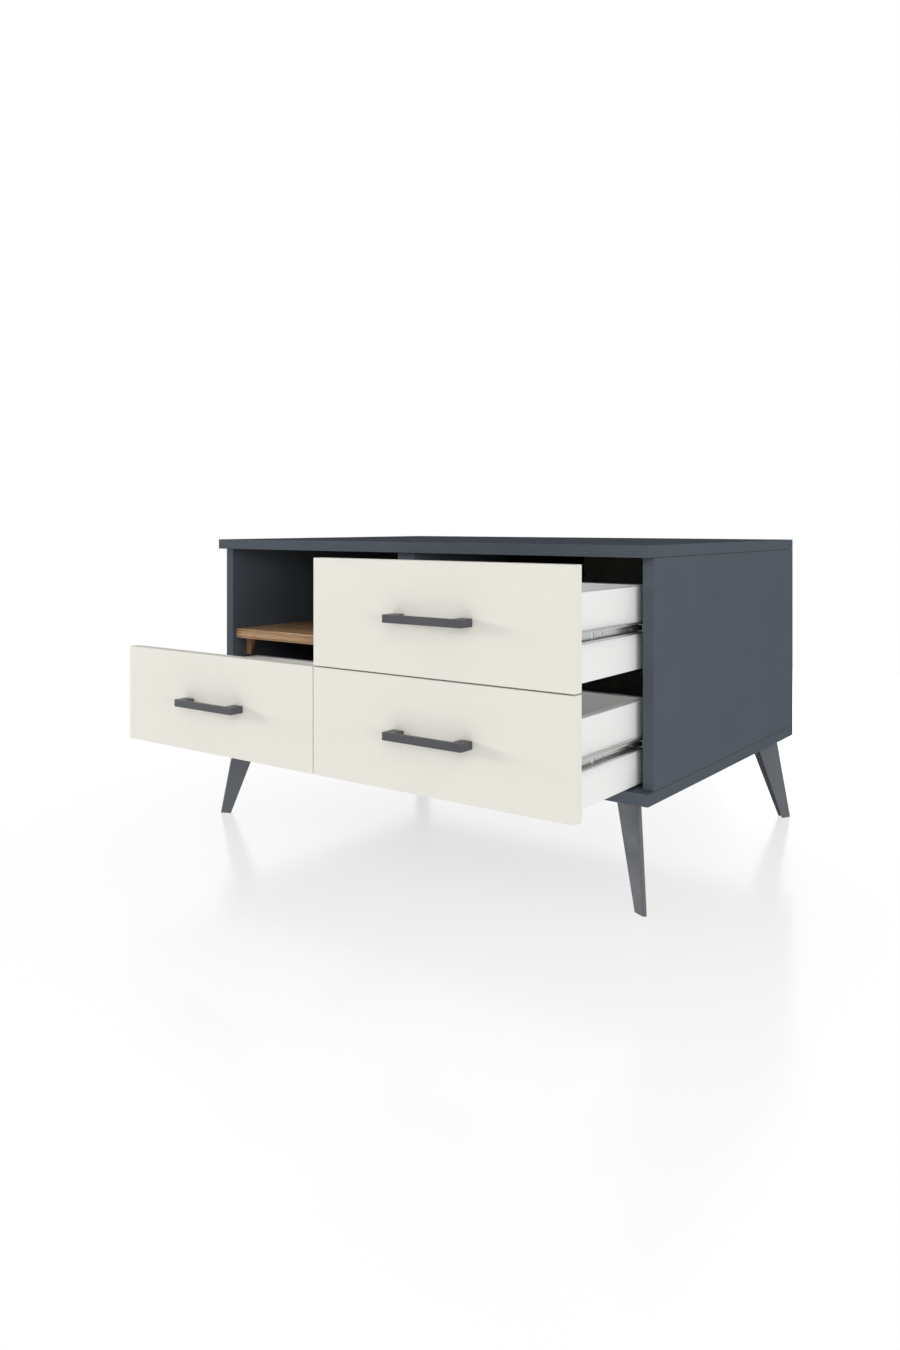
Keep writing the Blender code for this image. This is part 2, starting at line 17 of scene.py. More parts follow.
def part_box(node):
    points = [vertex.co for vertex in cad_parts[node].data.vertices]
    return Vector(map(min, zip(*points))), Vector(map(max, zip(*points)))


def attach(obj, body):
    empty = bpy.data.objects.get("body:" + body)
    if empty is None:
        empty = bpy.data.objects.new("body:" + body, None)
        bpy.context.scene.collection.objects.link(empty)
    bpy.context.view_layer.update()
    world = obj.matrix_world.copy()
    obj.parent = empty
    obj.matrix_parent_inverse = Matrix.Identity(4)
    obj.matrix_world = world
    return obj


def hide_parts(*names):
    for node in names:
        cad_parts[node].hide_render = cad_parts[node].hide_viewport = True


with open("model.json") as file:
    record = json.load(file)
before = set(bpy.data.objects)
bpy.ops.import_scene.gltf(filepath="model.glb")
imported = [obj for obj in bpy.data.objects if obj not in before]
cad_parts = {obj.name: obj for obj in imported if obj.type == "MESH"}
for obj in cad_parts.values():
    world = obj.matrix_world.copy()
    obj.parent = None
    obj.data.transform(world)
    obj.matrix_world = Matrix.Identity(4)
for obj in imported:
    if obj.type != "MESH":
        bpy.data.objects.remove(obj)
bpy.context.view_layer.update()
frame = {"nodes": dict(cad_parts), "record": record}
nodes = frame["nodes"]

# %% [markdown]
# ## The camera
# The photograph has upright verticals, as an architect's shift lens gives: the camera is level, and the
# picture is shifted down to take in the legs. Turning a camera down instead would make the verticals
# lean. So the camera stands level, and `shift_y` does the framing. Blender fits the sensor's width to the
# longer side of a picture, which is the height here, so the lens is worked out from the height.

# %% Camera at the photograph's angle
PHOTO_HEIGHT = 1350
FOCAL_PIXELS = 1033.5
HORIZON_ROW = 522.8
SENSOR_WIDTH = 36.0
CAMERA_TURN = math.radians(36.41)
CAMERA_FROM_FRONT_EDGE = 1.3371
CAMERA_X = 1.0896
CAMERA_HEIGHT = 0.5567

chest_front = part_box("top_panel")[0].y

camera_data = bpy.data.cameras.new("photo_camera")
camera_data.sensor_width = SENSOR_WIDTH
camera_data.lens = FOCAL_PIXELS * SENSOR_WIDTH / PHOTO_HEIGHT
camera_data.shift_y = (HORIZON_ROW - PHOTO_HEIGHT / 2) / PHOTO_HEIGHT
camera_data.dof.use_dof = False
camera = bpy.data.objects.new("photo_camera", camera_data)
camera.location = (CAMERA_X, chest_front - CAMERA_FROM_FRONT_EDGE, CAMERA_HEIGHT)
camera.rotation_euler = (math.pi / 2, 0, CAMERA_TURN)
bpy.context.scene.collection.objects.link(camera)
bpy.context.scene.camera = camera
bpy.context.scene.view_settings.view_transform = "Standard"
print("lens:", round(camera_data.lens, 2), "mm, shift:", round(camera_data.shift_y, 4))

# %% [markdown]
# ## Node helpers
# The room, the floor and every finish below are node trees. Four helpers keep the trees readable: one
# adds a node and sets its sockets by name, one joins an output to an input, one does a sum with two
# values, and one lays a shader over another.

# %% Helpers for node trees
def add_node(tree, kind, **sockets):
    """Adds a node and sets the sockets that are named, with spaces written as underscores."""
    node = tree.nodes.new(kind)
    for name, value in sockets.items():
        node.inputs[name.replace("_", " ")].default_value = value
    return node


def join(tree, output, target):
    """Draws a link from one node's output to another's input."""
    tree.links.new(output, target)


def work_out(tree, operation, first, second):
    """A sum with two values, each of them a plain number or another node's output."""
    sum_node = add_node(tree, "ShaderNodeMath")
    sum_node.operation = operation
    for value, target in zip((first, second), sum_node.inputs):
        if isinstance(value, float):
            target.default_value = value
        else:
            join(tree, value, target)
    return sum_node.outputs["Value"]


def lay_over(tree, amount, under, over):
    """One shader over another, by an amount from nought to one."""
    mix = add_node(tree, "ShaderNodeMixShader")
    for output, target in zip((amount, under, over), mix.inputs):
        join(tree, output, target)
    return mix.outputs["Shader"]


print("node helpers:", [helper.__name__ for helper in (add_node, join, work_out, lay_over)])

# %% [markdown]
# ## Studio
# A catalogue photographer stands such a chest on a white sweep in a white room. The room gives much of
# the soft light, and it is the world here: brighter at the horizon than overhead, so that upright faces
# come out lighter than the top. The camera, gloss and glass see it as plain white.

# %% World light
HORIZON_LIGHT = 0.55
OVERHEAD_LIGHT = 0.33
WHITE = (1.0, 1.0, 1.0, 1.0)


def seen_directly(tree):
    """One for rays from the camera, off gloss or through glass, and nought for rays that carry light."""
    rays = add_node(tree, "ShaderNodeLightPath").outputs
    reflected = work_out(tree, "MAXIMUM", rays["Is Glossy Ray"], rays["Is Transmission Ray"])
    return work_out(tree, "MAXIMUM", rays["Is Camera Ray"], reflected)


world = bpy.data.worlds.new("white_studio")
world.use_nodes = True
bpy.context.scene.world = world
tree = world.node_tree
tree.nodes.clear()
direction = add_node(tree, "ShaderNodeTexCoord")
height_split = add_node(tree, "ShaderNodeSeparateXYZ")
join(tree, direction.outputs["Generated"], height_split.inputs["Vector"])
dome = add_node(tree, "ShaderNodeMapRange", To_Min=HORIZON_LIGHT, To_Max=OVERHEAD_LIGHT)
join(tree, height_split.outputs["Z"], dome.inputs["Value"])
soft_light = add_node(tree, "ShaderNodeBackground", Color=WHITE)
join(tree, dome.outputs["Result"], soft_light.inputs["Strength"])
plain_white = add_node(tree, "ShaderNodeBackground", Color=WHITE, Strength=1.0)
room = lay_over(tree, seen_directly(tree), soft_light.outputs[0], plain_white.outputs[0])
world_output = add_node(tree, "ShaderNodeOutputWorld")
join(tree, room, world_output.inputs["Surface"])
print("world light:", HORIZON_LIGHT, "at the horizon,", OVERHEAD_LIGHT, "overhead")

# %% [markdown]
# Five softboxes shape the chest. One hangs above the camera, for the fronts and the top edges. One stands
# well round to the right for the side and the open drawers, with a weak one between these two. A wide flat
# one, low and far round to the left, lights the fronts from the other side and slips in under the upper
# drawer. A low one behind lights the back. Little of this gets into the niche, which stays dark.

# %% Softboxes
CHEST_MIDDLE = Vector((0.0, 0.1, 0.3))
SOFTBOX_DISTANCE = 7.0


def hang_softbox(name, turn, rise, width, height, power):
    """Hangs a lamp, turned from straight in front and raised, that faces the chest's middle."""
    lamp_data = bpy.data.lights.new(name, "AREA")
    lamp_data.shape = "RECTANGLE"
    lamp_data.size = width
    lamp_data.size_y = height
    lamp_data.energy = power
    lamp = bpy.data.objects.new(name, lamp_data)
    level = math.cos(math.radians(rise))
    away = Vector((
        math.sin(math.radians(turn)) * level,
        -math.cos(math.radians(turn)) * level,
        math.sin(math.radians(rise)),
    ))
    lamp.location = CHEST_MIDDLE + away * SOFTBOX_DISTANCE
    lamp.rotation_euler = away.to_track_quat("Z", "Y").to_euler()
    lamp.visible_camera = False
    bpy.context.scene.collection.objects.link(lamp)
    print(name, "at", [round(value, 2) for value in lamp.location])


hang_softbox("camera_softbox", turn=40, rise=35, width=3.2, height=3.2, power=58)
hang_softbox("right_softbox", turn=65, rise=5, width=2.6, height=1.2, power=96)
hang_softbox("front_softbox", turn=42, rise=15, width=1.6, height=1.6, power=34)
hang_softbox("left_softbox", turn=-66, rise=9, width=3.2, height=0.8, power=190)
hang_softbox("rear_softbox", turn=185, rise=3, width=3.2, height=1.2, power=70)

# %% [markdown]
# The floor is the sweep, a matt white board. To the camera its white is lifted towards full white, more so
# away from the chest, so that it runs out into the background and still keeps the soft shadow under the
# drawers. A lit sweep also throws light back up at the chest, and a share of the same lift does that.

# %% White floor
FLOOR_SIZE = 60.0
FLOOR_COLOUR = (0.88, 0.875, 0.88, 1.0)
FLOOR_LIFT = 0.84
FLOOR_BOUNCE = 0.6
FADE_START = 0.15
FADE_END = 0.95

bpy.ops.object.select_all(action="DESELECT")
bpy.ops.mesh.primitive_plane_add(size=FLOOR_SIZE, location=(0, 0, 0))
floor = bpy.context.active_object
floor.name = "studio_floor"
sweep = bpy.data.materials.new("white_sweep")
sweep.use_nodes = True
tree = sweep.node_tree
tree.nodes.clear()
paper = add_node(tree, "ShaderNodeBsdfDiffuse", Color=FLOOR_COLOUR)
glow = add_node(tree, "ShaderNodeEmission", Color=WHITE, Strength=1.0)
floor_place = add_node(tree, "ShaderNodeTexCoord")
from_chest = add_node(tree, "ShaderNodeVectorMath")
from_chest.operation = "LENGTH"
join(tree, floor_place.outputs["Object"], from_chest.inputs[0])
fade = add_node(tree, "ShaderNodeMapRange", From_Min=FADE_START, From_Max=FADE_END, To_Min=FLOOR_LIFT)
fade.interpolation_type = "SMOOTHSTEP"
join(tree, from_chest.outputs["Value"], fade.inputs["Value"])
share = work_out(tree, "MAXIMUM", seen_directly(tree), FLOOR_BOUNCE)
lift = work_out(tree, "MULTIPLY", fade.outputs["Result"], share)
lit_paper = lay_over(tree, lift, paper.outputs[0], glow.outputs[0])
print("floor:", FLOOR_SIZE, "m square, full white from", FADE_END, "m off")

# %% [markdown]
# Over the paper lies a thin clear coat that gives a faint mirror image of the legs. It thins out further
# off, because a mirror at a grazing angle would draw a line along the horizon.

# %% Clear coat on the floor
COAT_IOR = 1.3
COAT_ROUGHNESS = 0.17
COAT_END = 2.5

coat = add_node(tree, "ShaderNodeBsdfGlossy", Color=WHITE, Roughness=COAT_ROUGHNESS)
grazing = add_node(tree, "ShaderNodeFresnel", IOR=COAT_IOR)
thinning = add_node(tree, "ShaderNodeMapRange", From_Min=COAT_END, From_Max=FADE_END)
join(tree, from_chest.outputs["Value"], thinning.inputs["Value"])
coat_amount = work_out(tree, "MULTIPLY", grazing.outputs["Fac"], thinning.outputs["Result"])
coated = lay_over(tree, coat_amount, lit_paper, coat.outputs[0])
floor_output = add_node(tree, "ShaderNodeOutputMaterial")
join(tree, coated, floor_output.inputs["Surface"])
floor.data.materials.append(sweep)
print("clear coat: thins out from", FADE_END, "to", COAT_END, "m off")

# %% [markdown]
# ## Building blocks for finishes
# Every finish here is made from the same few blocks. These three start one: a material with its plain
# settings, the place on the board in metres, and noise at a chosen grain size. The place is read from
# Object coordinates, so the grain has its true size on every board and needs no unwrapping.

# %% Start a finish
def new_finish(name, **sockets):
    """A material with its plain shader settings, its node tree and its shader."""
    material = bpy.data.materials.new(name)
    material.use_nodes = True
    shader = material.node_tree.nodes["Principled BSDF"]
    for socket, value in sockets.items():
        shader.inputs[socket.replace("_", " ")].default_value = value
    return material, material.node_tree, shader


def board_place(tree, stretch=(1.0, 1.0, 1.0), shift=(0.0, 0.0, 0.0)):
    """The place on the piece in metres, stretched to draw a grain out along one way."""
    where = add_node(tree, "ShaderNodeTexCoord")
    mapping = add_node(tree, "ShaderNodeMapping", Scale=stretch, Location=shift)
    join(tree, where.outputs["Object"], mapping.inputs["Vector"])
    return mapping.outputs["Vector"]


def grain(tree, place, grain_size, detail=2.0, distortion=0.0):
    """Noise whose blotches are about as large as grain_size, in metres."""
    noise = add_node(
        tree, "ShaderNodeTexNoise", Scale=1.0 / grain_size, Detail=detail, Distortion=distortion,
    )
    join(tree, place, noise.inputs["Vector"])
    return noise.outputs["Fac"]


print("to start a finish:", [helper.__name__ for helper in (new_finish, board_place, grain)])

# %% [markdown]
# The next blocks turn noise into colours. A ramp gives it shades, and most ramps here cloud one colour
# from a darker to a lighter tint. Noise keeps mostly between 0.3 and 0.7, so the clouds run between these.

# %% Shades of a colour
NOISE_LOW = 0.3
NOISE_HIGH = 0.7


def tinted(colour, factor):
    """A colour made darker or lighter."""
    return tuple(channel * factor for channel in colour)


def shades(tree, pattern, *stops):
    """A ramp from a pattern to colours, with a stop for each pair of position and colour."""
    ramp = add_node(tree, "ShaderNodeValToRGB")
    while len(ramp.color_ramp.elements) < len(stops):
        ramp.color_ramp.elements.new(0.5)
    for element, (position, colour) in zip(ramp.color_ramp.elements, stops):
        element.position = position
        element.color = (*colour, 1.0)
    join(tree, pattern, ramp.inputs["Fac"])
    return ramp.outputs["Color"]


def cloud_shades(tree, clouds, colour, darkest, lightest):
    """One colour that clouds from a darker to a lighter tint."""
    return shades(
        tree, clouds,
        (NOISE_LOW, tinted(colour, darkest)),
        (NOISE_HIGH, tinted(colour, lightest)),
    )


print("clouds run from", NOISE_LOW, "to", NOISE_HIGH)

# %% [markdown]
# A finish has layers. A spread maps noise to another value, such as a roughness. An overlay lays one
# pattern of colours on another, and a darkening block multiplies colours by a pattern: for real stains,
# and in the pearls and dimples for painted shade in their low spots. The last block joins colours,
# roughness and bumps to the shader.

# %% Layers and relief
UNDARKENED = (1.0, 1.0, 1.0)

# A Mix node has sockets of the same name for numbers and for colours, so these go by their number.
MIX_AMOUNT = 0
MIX_UNDER = 6
MIX_OVER = 7
MIX_RESULT = 2


def spread(tree, pattern, first, last, start=NOISE_LOW, end=NOISE_HIGH):
    """Maps a pattern that runs from start to end to a value that runs from first to last."""
    ranged = add_node(tree, "ShaderNodeMapRange", From_Min=start, From_Max=end, To_Min=first, To_Max=last)
    join(tree, pattern, ranged.inputs["Value"])
    return ranged.outputs["Result"]


def overlay(tree, amount, under, over, how="MIX"):
    """Lays one colour over another by an amount that is itself a pattern."""
    mix = add_node(tree, "ShaderNodeMix")
    mix.data_type = "RGBA"
    mix.blend_type = how
    join(tree, amount, mix.inputs[MIX_AMOUNT])
    join(tree, under, mix.inputs[MIX_UNDER])
    join(tree, over, mix.inputs[MIX_OVER])
    return mix.outputs[MIX_RESULT]


def darken_by(tree, amount, colours, pattern, *stops):
    """Multiplies colours by the shades of a pattern."""
    return overlay(tree, amount, colours, shades(tree, pattern, *stops), "MULTIPLY")


def lay_on(tree, shader, colours, roughness, height, depth):
    """Joins colours and roughness to the shader, and a pattern as bumps about depth metres high."""
    join(tree, colours, shader.inputs["Base Color"])
    join(tree, roughness, shader.inputs["Roughness"])
    bump = add_node(tree, "ShaderNodeBump", Distance=depth)
    join(tree, height, bump.inputs["Height"])
    join(tree, bump.outputs["Normal"], shader.inputs["Normal"])


print("layers:", [helper.__name__ for helper in (spread, overlay, darken_by, lay_on)])

# %% [markdown]
# Boards, legs and handles are knocked on their edges first. Pale edge colours also stand in for the
# highlight that a rounded edge catches, so this mask carries both the knocks and a painted highlight.
# The bevel node finds the edges: it gives the normal that a rounded edge would have, and where that
# differs from the real normal there is an edge. Knocks are never even, so a coarser noise breaks the
# edge up into scuffs.

# %% Worn edges
BEVEL_SAMPLES = 6
BEND_AT_EDGE = 0.86
BEND_ON_FLAT = 0.995
SCUFF_SIZE = 0.007
SCUFF_FAINTEST = 0.15
SCUFF_START = 0.4
SCUFF_END = 0.62


def worn_lit_edges(tree, reach, amount):
    """A mask on the edges of a piece, broken up by scuffs: it fades inwards over about reach metres."""
    rounded = add_node(tree, "ShaderNodeBevel", Radius=reach)
    rounded.samples = BEVEL_SAMPLES
    flat = add_node(tree, "ShaderNodeNewGeometry")
    bend = add_node(tree, "ShaderNodeVectorMath")
    bend.operation = "DOT_PRODUCT"
    join(tree, rounded.outputs["Normal"], bend.inputs[0])
    join(tree, flat.outputs["Normal"], bend.inputs[1])
    edge = spread(tree, bend.outputs["Value"], amount, 0.0, start=BEND_AT_EDGE, end=BEND_ON_FLAT)
    blotches = grain(tree, board_place(tree), SCUFF_SIZE, detail=4.0)
    scuffs = spread(tree, blotches, SCUFF_FAINTEST, 1.0, start=SCUFF_START, end=SCUFF_END)
    return work_out(tree, "MULTIPLY", edge, scuffs)


print("scuffs:", SCUFF_SIZE * 1000, "mm across")

# %% [markdown]
# ## Melamine boards
# Melamine board is printed paper pressed onto chipboard with a steel plate. The plate leaves a fine
# pearl texture, about a millimetre across, and the print has a faint cloud. A flat colour would look like
# plastic sheet, so the pearl drives the relief and slower clouds drive the colour and the sheen. The
# pearl's low spots are also painted darker, as painted shade. The dark boards have no sheen at all: the
# photograph looks along the top, where any gloss would mirror the white room. The edges carry a glued
# band, and knocks show there: greyer on the white boards, and paler on the dark boards, where the pale
# edge is partly a painted highlight.

# %% Melamine for the carcass, the fronts and the boxes
EDGE_REACH = 0.0012
PRINT_CLOUD_SIZE = 0.09
HANDLED_SIZE = 0.03
BOARD_SHEEN_CLOUD = 0.05
PEARL_SHADOW = 1.6
WORN_LIT_LIGHTEST = 1.08


def melamine(name, colour, gloss, roughness, cloud, pearl_size, pearl_depth, worn_lit_edge, wear_and_light):
    """A pressed board: clouded print, pearl relief with painted shade, a sheen that clouds too, and
    knocked edges, where paler partly a painted highlight.
    """
    material, tree, shader = new_finish(name, Specular_IOR_Level=gloss)
    place = board_place(tree)
    clouds = grain(tree, place, PRINT_CLOUD_SIZE, detail=4.0)
    pearls = grain(tree, place, pearl_size, detail=1.0)
    # The pearls' low spots are given a darker colour: painted shade.
    hollows = tinted(UNDARKENED, 1.0 - PEARL_SHADOW * cloud)
    colours = cloud_shades(tree, clouds, colour, 1.0 - cloud, 1.0 + cloud)
    pearled = spread(tree, pearls, first=0.6, last=1.0)
    colours = darken_by(tree, pearled, colours, pearls, (0.25, hollows), (0.75, UNDARKENED))
    # The edge colour stands for knocks on the glued band; where it is paler than the board it is partly a
    # painted highlight.
    worn_lit_shades = cloud_shades(tree, clouds, worn_lit_edge, 1.0, WORN_LIT_LIGHTEST)
    colours = overlay(tree, worn_lit_edges(tree, EDGE_REACH, wear_and_light), colours, worn_lit_shades)
    handled = grain(tree, place, HANDLED_SIZE, detail=3.0)
    sheen = spread(tree, handled, roughness - BOARD_SHEEN_CLOUD, roughness + BOARD_SHEEN_CLOUD)
    lay_on(tree, shader, colours, sheen, pearls, pearl_depth)
    return material


ANTHRACITE = (0.096, 0.111, 0.132)
CREAM = (0.815, 0.795, 0.725)
BOX_WHITE = (0.885, 0.885, 0.872)

anthracite_melamine = melamine(
    "anthracite_melamine", ANTHRACITE, gloss=0.0, roughness=0.7, cloud=0.03,
    pearl_size=0.0010, pearl_depth=0.00010, worn_lit_edge=(0.165, 0.180, 0.200), wear_and_light=0.5,
)
cream_melamine = melamine(
    "cream_melamine", CREAM, gloss=0.16, roughness=0.5, cloud=0.008,
    pearl_size=0.0011, pearl_depth=0.00007, worn_lit_edge=(0.66, 0.63, 0.55), wear_and_light=0.45,
)
white_foil = melamine(
    "white_foil", BOX_WHITE, gloss=0.16, roughness=0.48, cloud=0.012,
    pearl_size=0.0007, pearl_depth=0.00004, worn_lit_edge=(0.66, 0.655, 0.63), wear_and_light=0.5,
)
print("melamine:", anthracite_melamine.name, cream_melamine.name, white_foil.name)

# %% [markdown]
# ## Hardboard back
# The back is a sheet of hardboard, painted pale olive grey on the face that shows inside and left raw
# behind: brown pressed fibre with darker specks. One material does both faces. The place along the depth
# says which face it is, because the sheet is only three millimetres thick.

# %% Hardboard
BACK_PAINT = (0.700, 0.710, 0.640)
FIBRE_BROWN = (0.27, 0.165, 0.095)
SPECK_STAIN = (0.55, 0.50, 0.45)
FIBRE_SIZE = 0.004
FIBRE_DEPTH = 0.0001
SPECK_SIZE = 0.0012
RAW_SKIN = 0.0008

raw_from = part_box("back_panel")[1].y - RAW_SKIN
hardboard, tree, shader = new_finish("painted_hardboard", Specular_IOR_Level=0.1)
place = board_place(tree)
fibres = grain(tree, place, FIBRE_SIZE, detail=6.0, distortion=1.5)
specks = grain(tree, place, SPECK_SIZE)
raw = shades(
    tree, fibres,
    (0.30, tinted(FIBRE_BROWN, 0.72)),
    (0.55, FIBRE_BROWN),
    (0.72, tinted(FIBRE_BROWN, 1.30)),
)
specked = spread(tree, specks, first=0.5, last=1.0)
raw = darken_by(tree, specked, raw, specks, (0.30, SPECK_STAIN), (0.42, UNDARKENED))
paint = cloud_shades(tree, fibres, BACK_PAINT, darkest=0.93, lightest=1.07)
depth_split = add_node(tree, "ShaderNodeSeparateXYZ")
join(tree, place, depth_split.inputs["Vector"])
outside = work_out(tree, "GREATER_THAN", depth_split.outputs["Y"], raw_from)
both_faces = overlay(tree, outside, paint, raw)
sheen = spread(tree, fibres, first=0.55, last=0.72)
lay_on(tree, shader, both_faces, sheen, fibres, FIBRE_DEPTH)
print("hardboard: raw behind", round(raw_from, 4))

# %% [markdown]
# ## Oak
# The shelf is oak veneer with its grain along the width, and its blocks are solid oak with the grain
# upright. Oak is told by growth bands that run in long arches and by short dark pores along the grain.
# The bands come from rings round an imagined trunk beside the board, with the noise that bends them drawn
# out along the grain. Streaks and pores are two finer noises, drawn out further.

# %% Oak along the width and oak upright
X, Y, Z = range(3)
OAK_PALE = (0.575, 0.385, 0.224)
OAK_MID = (0.46, 0.288, 0.158)
OAK_DARK = (0.328, 0.19, 0.098)
TRUNK_PLACE = (0.05, -0.12, 0.35)
BAND_WIDTH = 0.011
# The wave node runs through 20 radians for each unit of scaled distance, and a band is one full turn.
WAVE_RADIANS = 20
RING_SCALE = 2 * math.pi / (WAVE_RADIANS * BAND_WIDTH)
BAND_DRAWN = 0.09
STREAK_DRAWN = 0.03
STREAK_SIZE = 0.005
STREAK_DARK = (0.72, 0.66, 0.60)
STREAK_PALE = (1.12, 1.10, 1.06)
PORE_SIZE = 0.0011
PORE_DEPTH = 0.00012
PORE_STAIN = (0.52, 0.44, 0.37)


def drawn_out(axis, share):
    """A stretch that draws noise out along an axis: a share of a tenth makes it ten times as long."""
    stretch = [1.0, 1.0, 1.0]
    stretch[axis] = share
    return stretch


def oak(name, axis, shade):
    """Oak with its grain along an axis, a shade lighter or darker."""
    material, tree, shader = new_finish(name, Specular_IOR_Level=0.22)
    trunk = board_place(tree, stretch=drawn_out(axis, BAND_DRAWN), shift=TRUNK_PLACE)
    rings = add_node(
        tree, "ShaderNodeTexWave", Scale=RING_SCALE, Distortion=5.0, Detail=3.0, Detail_Scale=0.35,
    )
    rings.wave_type = "RINGS"
    rings.rings_direction = "XYZ"[axis]
    rings.wave_profile = "SAW"
    join(tree, trunk, rings.inputs["Vector"])
    colours = shades(
        tree, rings.outputs["Fac"],
        (0.0, tinted(OAK_PALE, shade)),
        (0.6, tinted(OAK_MID, shade)),
        (1.0, tinted(OAK_DARK, shade)),
    )
    along_grain = board_place(tree, stretch=drawn_out(axis, STREAK_DRAWN))
    streaks = grain(tree, along_grain, STREAK_SIZE, detail=5.0)
    pores = grain(tree, along_grain, PORE_SIZE, detail=3.0)
    streaked = spread(tree, streaks, first=0.75, last=1.0)
    colours = darken_by(tree, streaked, colours, streaks, (0.32, STREAK_DARK), (0.66, STREAK_PALE))
    pored = spread(tree, pores, first=1.0, last=0.6)
    colours = darken_by(tree, pored, colours, pores, (0.36, PORE_STAIN), (0.47, UNDARKENED))
    sheen = spread(tree, pores, first=0.66, last=0.46)
    lay_on(tree, shader, colours, sheen, pores, PORE_DEPTH)
    return material


shelf_oak = oak("shelf_oak", axis=X, shade=1.2)
# The blocks' oak is made darker than the shelf's as painted shade, for the shade they stand in under the
# shelf.
block_oak = oak("block_oak", axis=Z, shade=0.85)
print("oak:", shelf_oak.name, block_oak.name)

# %% [markdown]
# ## Powder paint on the legs and handles
# The folded steel legs and the handles are powder coated: the powder melts into a skin with the dimples
# of orange peel, a millimetre or two across. Dimples and a slight cloud in the gloss are what tell it
# from sprayed lacquer, and the dimples' low spots are painted a little darker, as painted shade. The skin
# draws back from sharp edges as it melts, and the edges are painted much paler, partly for that thin skin
# and partly as a painted highlight. The handles are smoother, since their coat is thinner.

# %% Powder paint
SKIN_REACH = 0.0009
SKIN_WEAR_AND_LIGHT = 0.7
SKIN_CLOUD_SIZE = 0.045
SKIN_SHEEN_CLOUD = 0.06
DIMPLE_SHADE = (0.9, 0.9, 0.9)


def powder_paint(name, colour, gloss, roughness, dimple_size, dimple_depth):
    """Baked powder: even colour, dimpled skin, gloss that clouds where hands and cloths have been."""
    material, tree, shader = new_finish(name, Specular_IOR_Level=gloss)
    place = board_place(tree)
    dimples = grain(tree, place, dimple_size, detail=1.0)
    clouds = grain(tree, place, SKIN_CLOUD_SIZE, detail=3.0)
    skin = cloud_shades(tree, clouds, colour, darkest=0.95, lightest=1.05)
    dimpled = spread(tree, dimples, first=1.0, last=0.6)
    # The dimples' low spots are darkened: painted shade.
    skin = darken_by(tree, dimpled, skin, dimples, (0.25, DIMPLE_SHADE), (0.7, UNDARKENED))
    # The edges are painted 2.1 to 2.6 times paler: partly the thinner skin, partly a painted highlight.
    thin_lit_skin = cloud_shades(tree, clouds, colour, darkest=2.1, lightest=2.6)
    skin = overlay(tree, worn_lit_edges(tree, SKIN_REACH, SKIN_WEAR_AND_LIGHT), skin, thin_lit_skin)
    sheen = spread(tree, clouds, roughness - SKIN_SHEEN_CLOUD, roughness + SKIN_SHEEN_CLOUD)
    lay_on(tree, shader, skin, sheen, dimples, dimple_depth)
    return material


LEG_GREY = (0.113, 0.121, 0.134)
HANDLE_GREY = (0.079, 0.081, 0.089)

leg_powder = powder_paint(
    "leg_powder_paint", LEG_GREY, gloss=0.28, roughness=0.42,
    dimple_size=0.0016, dimple_depth=0.00005,
)
handle_powder = powder_paint(
    "handle_powder_paint", HANDLE_GREY, gloss=0.25, roughness=0.42,
    dimple_size=0.0010, dimple_depth=0.00003,
)
print("powder paint:", leg_powder.name, handle_powder.name)

# %% [markdown]
# ## Zinc-plated steel
# The slides are rolled from zinc-plated strip. Rolling leaves fine lines along the length, and the
# plating has a faint blue and straw bloom. The lines run along the depth of the chest, so the noise is
# drawn out that way and drives the gloss, and the bloom is a slow cloud of two tints. The screws and balls
# are plated or polished all over, so their noise runs no particular way.

# %% Zinc for the slides, plated screws and steel balls
ZINC_BLUE = (0.51, 0.53, 0.545)
ZINC_STRAW = (0.56, 0.545, 0.51)
LINE_STAIN = (0.90, 0.90, 0.90)
BLOOM_SIZE = 0.03
LINE_DEPTH = 0.00001
LINE_DRAWN = 0.02


def plated_steel(name, line_size, smoothest, roughest, stretch=(1.0, 1.0, 1.0)):
    """Plated steel with a bloom of two tints, and lines that a stretch draws out along one way."""
    material, tree, shader = new_finish(name, Metallic=1.0)
    bloom = grain(tree, board_place(tree), BLOOM_SIZE, detail=3.0)
    lines = grain(tree, board_place(tree, stretch=stretch), line_size, detail=3.0)
    plating = shades(tree, bloom, (0.35, ZINC_BLUE), (0.65, ZINC_STRAW))
    lined = spread(tree, bloom, first=0.6, last=1.0)
    plating = darken_by(tree, lined, plating, lines, (0.3, LINE_STAIN), (0.65, UNDARKENED))
    sheen = spread(tree, lines, smoothest, roughest)
    lay_on(tree, shader, plating, sheen, lines, LINE_DEPTH)
    return material


slide_zinc = plated_steel(
    "slide_zinc", line_size=0.0007, smoothest=0.23, roughest=0.32, stretch=drawn_out(Y, LINE_DRAWN),
)
screw_zinc = plated_steel("screw_zinc", line_size=0.0009, smoothest=0.24, roughest=0.40)
ball_steel = plated_steel("ball_steel", line_size=0.0006, smoothest=0.08, roughest=0.18)
print("steel:", slide_zinc.name, screw_zinc.name, ball_steel.name)

# %% [markdown]
# ## Black plastic
# The ball cages are moulded in black plastic. A mould is spark-eroded, which leaves a matt skin with
# tiny pits, and the skin is a little greyer and smoother where it rubs.

# %% Cage plastic
CAGE_BLACK = (0.014, 0.014, 0.015)
CAGE_RUBBED = (0.030, 0.030, 0.032)
RUB_SIZE = 0.006
PIT_SIZE = 0.0004
PIT_DEPTH = 0.00002

